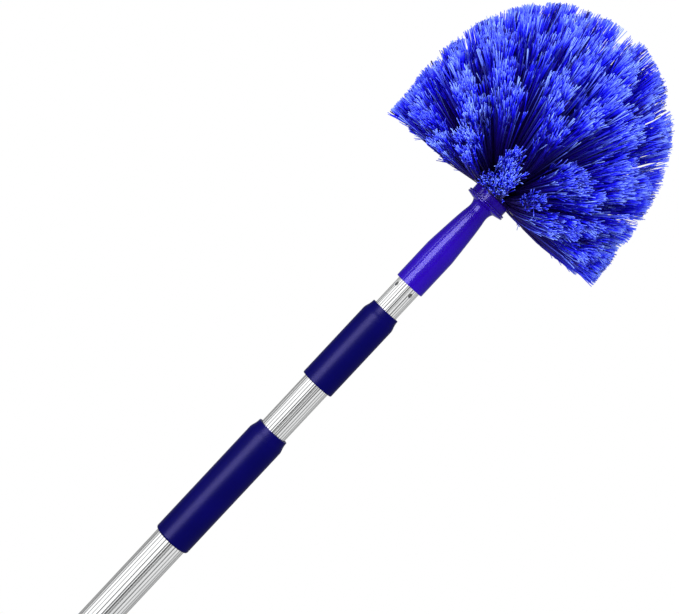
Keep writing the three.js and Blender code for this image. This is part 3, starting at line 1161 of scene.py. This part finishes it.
def heading(turn: float, elevation: float) -> Array:
    """The unit vector of a turn and an elevation."""
    level = math.cos(elevation)
    return np.array([level * math.cos(turn), level * math.sin(turn), math.sin(elevation)])


@dataclass(frozen=True)
class Parting:
    """A place where handling parted the tufts, or gathered them where the push is negative; in degrees."""

    turn: float
    elevation: float
    push: float
    width: float
    nearest: float = 0.01

    def moved(self, goal: Array) -> Array:
        """Pushes a tuft away from the parting.

        Args:
            goal: the direction in which it points, as a unit vector.

        Returns:
            The new unit vector.
        """
        away = goal - heading(math.radians(self.turn), math.radians(self.elevation))
        distance = float(np.linalg.norm(away))
        push = math.radians(self.push) * math.exp(-((distance / math.radians(self.width)) ** 2))
        goal = goal + away * (push / max(distance, self.nearest))
        return goal / np.linalg.norm(goal)


HANDLING = (
    Parting(260, 30, 6, 9), Parting(236, 44, 4, 8), Parting(274, 22, 5, 8), Parting(283, 31, 6, 9),
    Parting(289, 27, 4, 7), Parting(244, 24, 4, 7), Parting(232, 32, 4, 7), Parting(268, 50, 4, 8),
    Parting(250, 42, 4, 8), Parting(254, 14, 4, 7), Parting(298, 18, 4, 7), Parting(320, 10, 3, 7),
    Parting(277, -2, 6, 9), Parting(266, 3, -6, 10),
)


@dataclass(frozen=True)
class Tuft:
    """Where one tuft is rooted and where it points, in radians."""

    root_turn: float
    turn: float
    root_elevation: float
    elevation: float


@dataclass
class BristleFan:
    """The fan: tufts of straight filaments, each split into finer hairs at its tip, trimmed to a dome."""

    centre: Vector
    side_reach: float = 110 * MM
    top_rise: float = 65 * MM
    dome_radius: float = 23 * MM
    rows: tuple[TuftRow, ...] = tuft_rows()
    gather_share: float = 0.8
    filaments: int = 54
    hairs: int = 3
    shaft_radius: float = 0.45 * MM
    hair_radii: Pair = (0.40 * MM, 0.35 * MM)
    bunch_radius: float = 1.5 * MM
    root_depth: float = 2 * MM
    spread: float = math.radians(3.7)
    uneven_spread: Pair = (0.8, 1.25)
    aim_jitter: float = math.radians(3.4)
    lowest_aim: float = math.radians(1.2)
    lean: float = math.radians(3)
    partings: tuple[Parting, ...] = HANDLING
    looseness: float = math.radians(0.7)
    stray_share: float = 0.008
    stray_factor: float = 4.0
    rim_drop: float = 0.012
    trim_mean: float = 0.993
    trim_share: float = 0.004
    trim_limit: float = 1.01
    pressed_share: float = 0.08
    pressed_reach: float = 0.72
    pressed_from: float = math.radians(12)
    short_share: float = 0.5
    shortest: float = 0.76
    short_factor: float = 1.7
    tuft_bend: float = 1.5 * MM
    filament_bend: float = 0.8 * MM
    droop: float = 1.6 * MM
    uneven_droop: float = 0.9
    worn: float = 7 * MM
    hair_splay: float = 1.8 * MM
    hair_ends: Pair = (-1.2 * MM, 0.2 * MM)
    split_share: float = 0.84
    split_spread: float = 0.04
    split_limits: Pair = (0.76, 0.93)
    shaft_shares: tuple = (0.0, 0.28, 0.54, 0.75)
    tone_mean: float = 0.5
    tuft_tone: float = 0.08
    filament_tone: float = 0.28
    tone_limits: Pair = (0.02, 0.95)
    sides: int = 3
    bands: int = 3
    seed: int = 8
    map_name: str = "OFBake"
    map_step: float = 0.015
    map_width: float = 0.012
    map_cap: float = 0.01

    def build(self) -> None:
        """Makes twelve pieces: three bands of rows in each quarter of the fan."""
        material = FlaggedFibre("flagged_blue_fibre", self.map_name).make()
        draw = np.random.default_rng(self.seed)
        for q in range(4):
            tufts = [self.tufts_of(row, q) for row in self.rows]
            for band, rows in enumerate(np.array_split(np.arange(len(self.rows)), self.bands)):
                chosen = [tuft for i in rows for tuft in tufts[i]]
                piece = self.piece_of(f"bristle_tufts_{q + 1}_{band + 1}", chosen, draw)
                hand_over(piece, material, Body.HEAD, "bristle_fibre", f"bristles_{q + 1}")

    def tufts_of(self, row: TuftRow, q: int) -> list[Tuft]:
        """The tufts of one row in one quarter, with their roots gathered to the quarter's middle.

        Args:
            row: the row.
            q: the quarter, from 0 to 3.

        Returns:
            The tufts.
        """
        per_quarter = row.count // 4
        middle = (q + 0.5) * math.pi / 2
        turns = [(q + (i + row.turn_share) / per_quarter) * math.pi / 2 for i in range(per_quarter)]
        root, tip = math.radians(row.root), math.radians(row.tip)
        return [Tuft(middle + (turn - middle) * self.gather_share, turn, root, tip) for turn in turns]

    def aimed(self, tuft: Tuft, draw: Draw) -> Array:
        """The direction in which a tuft points, with its own jitter and what handling did to it.

        Args:
            tuft: the tuft.
            draw: the fan's source of random numbers.

        Returns:
            The direction, as a unit vector.
        """
        aim = draw.normal(0, self.aim_jitter, 2)
        goal = heading(tuft.turn + aim[0], max(tuft.elevation + aim[1], self.lowest_aim))
        for parting in self.partings:
            goal = parting.moved(goal)
        return goal

    def tuft_paths(self, tuft: Tuft, draw: Draw) -> dict[str, Array]:
        """Lays one tuft's filaments.

        Args:
            tuft: the tuft.
            draw: the fan's source of random numbers.

        Returns:
            The roots, tips and bends of its filaments, and their tones.
        """
        goal = self.aimed(tuft, draw)
        side = np.array([-math.sin(tuft.turn), math.cos(tuft.turn), 0.0])
        up = np.cross(goal, side)
        ring = np.sqrt(draw.uniform(0, 1, self.filaments))
        phase = draw.uniform(0, 2 * math.pi, self.filaments)
        across, over = ring * np.cos(phase), ring * np.sin(phase)
        tips = self.tips_of(tuft, (goal, side, up), (across, over), draw)
        out = heading(tuft.root_turn, tuft.root_elevation)
        bunched = np.outer(across, side) + np.outer(over, np.cross(out, side))
        roots = out * (self.dome_radius - self.root_depth) + self.bunch_radius * bunched
        bends = self.bends_of(tuft, side, up, draw)
        tone = self.tone_mean + draw.normal(0, self.tuft_tone)
        tones = np.clip(tone + draw.normal(0, self.filament_tone, self.filaments), *self.tone_limits)
        centre = np.array(self.centre)
        return {"root": roots + centre, "tip": tips + centre, "bend": bends, "tone": tones}

    def tips_of(
        self, tuft: Tuft, axes: Sequence[Array], offs: Sequence[Array], draw: Draw,
    ) -> Array:
        """Where a tuft's filaments end: spread about its goal, some loose or short, and trimmed to the dome.

        Args:
            tuft: the tuft.
            axes: the way that it points, and the ways across and over it.
            offs: how far each filament lies across and over, as shares of the tuft's radius.
            draw: the fan's source of random numbers.

        Returns:
            The tips, from the fan's centre.
        """
        goal, side, up = axes
        across, over = offs
        count = self.filaments
        wide, tall = math.tan(self.spread) * draw.uniform(*self.uneven_spread, 2)
        loose = draw.normal(0, math.tan(self.looseness), (count, 2))
        stray = draw.uniform(0, 1, count) < self.stray_share
        loose[stray] *= self.stray_factor
        short = draw.uniform(0, 1, count) < self.short_share
        loose[short] *= self.short_factor
        loose[:, 1] = np.maximum(loose[:, 1], -tuft.elevation)
        ways = goal + np.outer(across * wide + loose[:, 0], side) + np.outer(over * tall + loose[:, 1], up)
        ways[:, 2] = np.maximum(ways[:, 2], min(goal[2], 0) - self.rim_drop)
        ways /= np.linalg.norm(ways, axis=1)[:, None]
        trim = np.minimum(self.trim_mean + draw.normal(0, self.trim_share, count), self.trim_limit)
        trim[short] *= draw.uniform(self.shortest, 1, short.sum())
        if draw.uniform() < self.pressed_share and tuft.elevation > self.pressed_from:
            trim *= self.pressed_reach
        worn = self.worn * np.maximum(ways[:, 0], 0) * ways[:, 2]
        reach = self.side_reach + self.top_rise * ways[:, 2] ** 2
        return ways * ((reach - worn) * trim)[:, None] @ np.array(Matrix.Rotation(self.lean, 3, "Y"))

    def bends_of(
        self, tuft: Tuft, side: Array, up: Array, draw: Draw,
    ) -> Array:
        """How far each filament's middle is off the straight: a little at random, and sagging at the rim.

        Args:
            tuft: the tuft.
            side: the way across it.
            up: the way over it.
            draw: the fan's source of random numbers.

        Returns:
            A bend for each filament.
        """
        bend = draw.normal(0, self.tuft_bend, 2) + draw.normal(0, self.filament_bend, (self.filaments, 2))
        bends = np.outer(bend[:, 0], side) + np.outer(bend[:, 1], up)
        sag = self.droop * (1 + self.uneven_droop * math.cos(tuft.turn)) * math.cos(tuft.elevation) ** 4
        bends[:, 2] = np.maximum(bends[:, 2], -self.droop) - sag
        return bends

    def piece_of(self, name: str, tufts: list[Tuft], draw: Draw) -> Piece:
        """Makes one mesh of many tufts.

        Args:
            name: the piece's name.
            tufts: the tufts that it holds.
            draw: the fan's source of random numbers.

        Returns:
            The piece.
        """
        laid = [self.tuft_paths(tuft, draw) for tuft in tufts]
        root, tip, bend, tone = (np.concatenate([tuft[key] for tuft in laid]) for key in laid[0])
        count = len(root)
        along = (tip - root) / np.linalg.norm(tip - root, axis=1)[:, None]
        side = np.cross(along, draw.normal(0, 1, (count, 3)))
        side /= np.linalg.norm(side, axis=1)[:, None]
        up = np.cross(along, side)
        split = np.clip(draw.normal(self.split_share, self.split_spread, count), *self.split_limits)
        shares = np.stack([np.full(count, s) for s in self.shaft_shares] + [split], 1)
        places = [root + (tip - root) * s + bend * 4 * s * (1 - s) for s in shares.T[:, :, None]]
        parts = [(self.rings(places, side, up, [self.shaft_radius] * len(places)), shares)]
        for i in range(self.hairs):
            splay = draw.normal(0, self.hair_splay, (count, 2))
            longer = along * draw.uniform(*self.hair_ends, (count, 1))
            end = tip + side * splay[:, :1] + up * splay[:, 1:] + longer
            turn = i * 2 * math.pi / (self.sides * self.hairs)
            turned_side = side * math.cos(turn) + up * math.sin(turn)
            turned_up = up * math.cos(turn) - side * math.sin(turn)
            rings = self.rings([places[-1], end], turned_side, turned_up, self.hair_radii)
            parts.append((rings, np.stack([split, np.ones(count)], 1)))
        return self.mesh_of(name, parts, tone)

    def rings(
        self, places: Sequence[Array], side: Array, up: Array, radii: Sequence[float],
    ) -> Array:
        """Corners round each filament or hair at places along it.

        Args:
            places: where the filaments are, ring by ring.
            side: the way across each filament.
            up: the way over each filament.
            radii: the radius of each ring.

        Returns:
            The corners, by filament, ring and side.
        """
        turns = np.arange(self.sides) * 2 * math.pi / self.sides
        return np.stack([
            place[:, None, :]
            + side[:, None, :] * (radius * np.cos(turns))[None, :, None]
            + up[:, None, :] * (radius * np.sin(turns))[None, :, None]
            for place, radius in zip(places, radii)
        ], 1)

    def mesh_of(self, name: str, parts: list[tuple], tone: Array) -> Piece:
        """Joins closed shafts and hairs into one mesh with a map of tone and place along.

        Args:
            name: the mesh's name.
            parts: shafts and hairs, as arrays of corners and of their shares along a filament.
            tone: each filament's own tone.

        Returns:
            The object that holds the mesh.
        """
        corners, faces, uvs = [], [], []
        first = 0
        n = self.sides
        for rings, shares in parts:
            count, levels = rings.shape[:2]
            base = first + np.arange(count)[:, None, None] * levels * n
            level = np.arange(levels - 1)[None, :, None] * n
            here = np.arange(n)[None, None, :]
            a, b = base + level + here, base + level + (here + 1) % n
            c, d = b + n, a + n
            low, high = shares[:, :-1, None] + 0 * here, shares[:, 1:, None] + 0 * here
            u = tone[:, None, None] + self.map_step * here + 0 * low
            v = u + self.map_width
            for triangle, across, along in (
                ((a, b, c), (u, v, v), (low, low, high)),
                ((a, c, d), (u, v, u), (low, high, high)),
            ):
                faces.append(np.stack(np.broadcast_arrays(*triangle), -1).reshape(-1, 3))
                uvs.append(np.stack([np.stack(across, -1), np.stack(along, -1)], -1).reshape(-1, 3, 2))
            foot = base[:, 0, 0]
            top = foot + (levels - 1) * n
            for start, share, order in ((foot, shares[:, 0], (0, 2, 1)), (top, shares[:, -1], (0, 1, 2))):
                faces.append(np.stack([start + i for i in order], -1))
                corner_u = np.stack([tone, tone + self.map_width, tone + self.map_width / 2], -1)
                corner_v = np.stack([share, share, share - self.map_cap], -1)
                uvs.append(np.stack([corner_u, corner_v], -1))
            corners.append(rings.reshape(-1, 3))
            first += count * levels * n
        return object_from(name, *map(np.concatenate, (corners, faces, uvs)), self.map_name)


def object_from(
    name: str, corners: Array, faces: Array, uvs: Array, map_name: str,
) -> Piece:
    """Makes an object of triangles with one UV map, linked to the scene.

    Args:
        name: the object's name.
        corners: the vertices' places.
        faces: three vertex numbers for each triangle.
        uvs: three places on the map for each triangle.
        map_name: the map's name.

    Returns:
        The object.
    """
    mesh = bpy.data.meshes.new(name)
    mesh.vertices.add(len(corners))
    mesh.vertices.foreach_set("co", corners.astype(np.float32).ravel())
    mesh.loops.add(faces.size)
    mesh.loops.foreach_set("vertex_index", faces.astype(np.int32).ravel())
    mesh.polygons.add(len(faces))
    mesh.polygons.foreach_set("loop_start", np.arange(0, faces.size, 3, dtype=np.int32))
    mesh.polygons.foreach_set("use_smooth", np.ones(len(faces), bool))
    mesh.uv_layers.new(name=map_name).uv.foreach_set("vector", uvs.astype(np.float32).ravel())
    mesh.update(calc_edges=True)
    mesh.validate()
    piece = bpy.data.objects.new(name, mesh)
    bpy.context.scene.collection.objects.link(piece)
    return piece


def dress_inner_works() -> None:
    """Dresses what stays as packed, inside the pole and head: collets, guide plugs and the block's screw."""
    nylon_nodes = ("lower_collet", "upper_collet", "middle_guide_plug", "inner_guide_plug")
    finishes = {node: NYLON for node in nylon_nodes} | {"block_screw": PlatedSteel("zinc_plated_steel")}
    for node, finish in finishes.items():
        dress(frame["nodes"][node], finish.make())
        LOG.info("%s: packed shape in %s", node, finish.name)


# The studio


@dataclass(frozen=True)
class SoftBox:
    """An upright light box that faces the pole, out of the camera's sight."""

    name: str
    turn: float
    height: float
    distance: float
    wide: float
    tall: float
    power: float
    colour: Colour = (1.0, 1.0, 1.0)
    glints: bool = False

    def hang(self) -> Piece:
        """Hangs the box: it either lights the surfaces softly or only shows as a glint in them.

        Returns:
            The lamp.
        """
        data = bpy.data.lights.new(self.name, "AREA")
        data.shape = "RECTANGLE"
        data.size, data.size_y = self.wide, self.tall
        data.energy = self.power
        data.color = self.colour
        lamp = bpy.data.objects.new(self.name, data)
        bpy.context.scene.collection.objects.link(lamp)
        way = Vector((math.sin(self.turn), -math.cos(self.turn), 0))
        lamp.location = way * self.distance + Vector((0, 0, self.height))
        lamp.rotation_euler = (-way).to_track_quat("-Z", "Y").to_euler()
        lamp.visible_camera = False
        lamp.visible_diffuse = not self.glints
        lamp.visible_glossy = self.glints
        return lamp


GLINT_COLOUR = (1.0, 0.92, 1.5)


@dataclass
class Studio:
    """A white room with a wide soft window at the camera's left, a pale floor and the camera."""

    lens: float = 116.278
    sensor: float = 36.0
    camera_place: tuple[float, float, float] = (0.0, -1.8, 1.083)
    camera_aim: tuple[float, float, float] = (-0.029846, 0.0, 0.988486)
    camera_roll: float = math.radians(43.0207)
    floor_radius: float = 0.9
    floor_sides: int = 128
    floor_colour: Colour = (0.45, 0.45, 0.45)
    floor_shade: float = 0.98
    floor_roughness: float = 0.8
    specks_per_metre: float = 120.0
    mirror_stops: tuple = (
        (-180, 0.60), (-155, 0.42), (-112, 0.36), (-99, 0.38), (-92, 1.32), (-14, 1.42), (-7, 1.50),
        (-2, 0.06), (14, 0.06), (19, 0.60), (24, 0.20), (28, 0.20), (33, 0.92), (100, 0.84), (118, 0.42),
        (155, 0.45), (180, 0.60),
    )
    soft_stops: tuple = (
        (-180, 0.35), (-110, 0.5), (-70, 1.5), (-10, 1.6), (30, 1.2), (100, 0.65), (180, 0.35),
    )
    brightest: float = 2.0
    top_light: float = 0.4
    top_from: float = 0.2
    strip: SoftBox = SoftBox(
        "strip_light", math.radians(-34), 0.9, 1.4, 0.88, 1.8, 122.0, GLINT_COLOUR, glints=True,
    )
    edge_strip: SoftBox = SoftBox(
        "edge_strip_light", math.radians(-69), 0.9, 1.4, 0.22, 1.8, 12.0, GLINT_COLOUR, glints=True,
    )
    key: SoftBox = SoftBox("key_light", math.radians(-14), 1.6, 1.7, 1.6, 1.4, 38.0)
    fill: SoftBox = SoftBox("fill_light", math.radians(165), 1.5, 1.7, 1.6, 1.4, 16.0)

    def build(self) -> None:
        """Sets up the room's light, the boxes, the floor and the camera."""
        self.light_room()
        self.hang_lights()
        self.lay_floor()
        self.set_camera()
        bpy.context.scene.view_settings.view_transform = "Standard"

    def light_room(self) -> None:
        """A white backdrop for the camera, and a window, a bright strip and darker walls for the light."""
        world = bpy.data.worlds.new("studio_room")
        bpy.context.scene.world = world
        world.use_nodes = True
        sh = Shader(world.node_tree)
        way = sh.node("SeparateXYZ", Vector=sh.node("TexCoord").outputs["Generated"])
        turn = sh.value(way, "X").angle_to(sh.value(way, "Y") * -1.0) / (2 * math.pi) + 0.5
        above = sh.value(way, "Z").step(self.top_from, 1.0) * self.top_light
        strengths = [self.level(sh, turn, stops) + above for stops in (self.mirror_stops, self.soft_stops)]
        mirrored, soft, seen = (
            sh.node("Background", Color=(1, 1, 1, 1), Strength=strength).outputs[0]
            for strength in (*strengths, 1.0)
        )
        path = sh.node("LightPath").outputs
        lit = sh.node("MixShader", i0=path["Is Diffuse Ray"], i1=mirrored, i2=soft).outputs[0]
        both = sh.node("MixShader", i0=path["Is Camera Ray"], i1=lit, i2=seen).outputs[0]
        sh.node("OutputWorld", Surface=both)

    def level(self, sh: Shader, turn: Socket, stops: Sequence[Pair]) -> Socket:
        """The room's brightness at a turn of 0 to 1, from stops of (degrees, brightness)."""
        greys = [((degrees + 180) / 360, (light / self.brightest,) * 3) for degrees, light in stops]
        return sh.value(sh.node("ValToRGB", {"stops": greys}, Fac=turn)) * self.brightest

    def hang_lights(self) -> None:
        """Hangs the boxes; the two strips only glint in the moulded plastics."""
        self.key.hang()
        self.fill.hang()
        for strip, finishes in ((self.strip, SHINY_PLASTICS), (self.edge_strip, {HEAD_PLASTIC.name})):
            shone_on = bpy.data.collections.new(f"{strip.name}_receivers")
            for piece in bpy.context.scene.objects:
                if piece.type == "MESH" and piece.active_material and piece.active_material.name in finishes:
                    shone_on.objects.link(piece)
            strip.hang().light_linking.receiver_collection = shone_on

    def lay_floor(self) -> None:
        """A round pale floor under the foot."""
        clear_bench()
        bpy.ops.mesh.primitive_circle_add(
            vertices=self.floor_sides, radius=self.floor_radius, fill_type="NGON", location=(0, 0, 0),
        )
        floor = bpy.context.object
        floor.name = "floor"
        material, sh = new_material("pale_floor")
        speck = sh.noise(sh.place(), [self.specks_per_metre] * 3)
        sh.surface(
            Base_Color=sh.mixed(speck, self.floor_colour, dimmed(self.floor_colour, self.floor_shade)),
            Roughness=self.floor_roughness,
        )
        dress(floor, material)

    def set_camera(self) -> None:
        """Aims the camera across the pole and rolls it, so that the pole rises to the right."""
        data = bpy.data.cameras.new("camera")
        data.lens = self.lens
        data.sensor_width = self.sensor
        camera = bpy.data.objects.new("camera", data)
        bpy.context.scene.collection.objects.link(camera)
        place, aim = Vector(self.camera_place), Vector(self.camera_aim)
        forward = (aim - place).normalized()
        level = forward.cross(Vector((0, 0, 1))).normalized()
        turn = Matrix.Rotation(self.camera_roll, 3, -forward)
        right, up = turn @ level, turn @ level.cross(forward)
        camera.matrix_world = Matrix.Translation(place) @ Matrix((right, up, -forward)).transposed().to_4x4()
        bpy.context.scene.camera = camera


def main() -> None:
    """Builds the duster's pieces in order, from the foot up, and then the studio."""
    dimple_from_end = 7 * MM
    lower_dimples = span("outer_tube")[0] + dimple_from_end
    upper_dimples = span("inner_tube")[1] - dimple_from_end
    EndCap().build()
    FlutedTube("outer_tube_fluted", "outer_tube", Body.OUTER, 14.7 * MM, lower_dimples).build()
    TwistGrip(
        "long_grip_sleeve", "long_grip", Body.LONG_GRIP, radius=16.85 * MM, nose_radius=14.9 * MM,
        foot_round=2 * MM, foot_bore=14.8 * MM, nose_bore=13 * MM, thread_bore=16.0 * MM,
    ).build()
    FlutedTube("middle_tube_fluted", "middle_tube", Body.MIDDLE, 12.5 * MM, groove_start=5).build()
    TwistGrip(
        "short_grip_sleeve", "short_grip", Body.SHORT_GRIP, radius=15.4 * MM, nose_radius=13.4 * MM,
        foot_round=0.8 * MM, foot_bore=12.6 * MM, nose_bore=11.5 * MM, thread_bore=13.8 * MM,
    ).build()
    FlutedTube("inner_tube_fluted", "inner_tube", Body.INNER, 11 * MM, upper_dimples).build()
    ScrewTip().build()
    HeadSocket().build()
    block = BrushBlock()
    block.build()
    BristleFan(Vector((0, 0, block.fan_height()))).build()
    dress_inner_works()
    Studio().build()


if __name__ == "__main__":
    main()
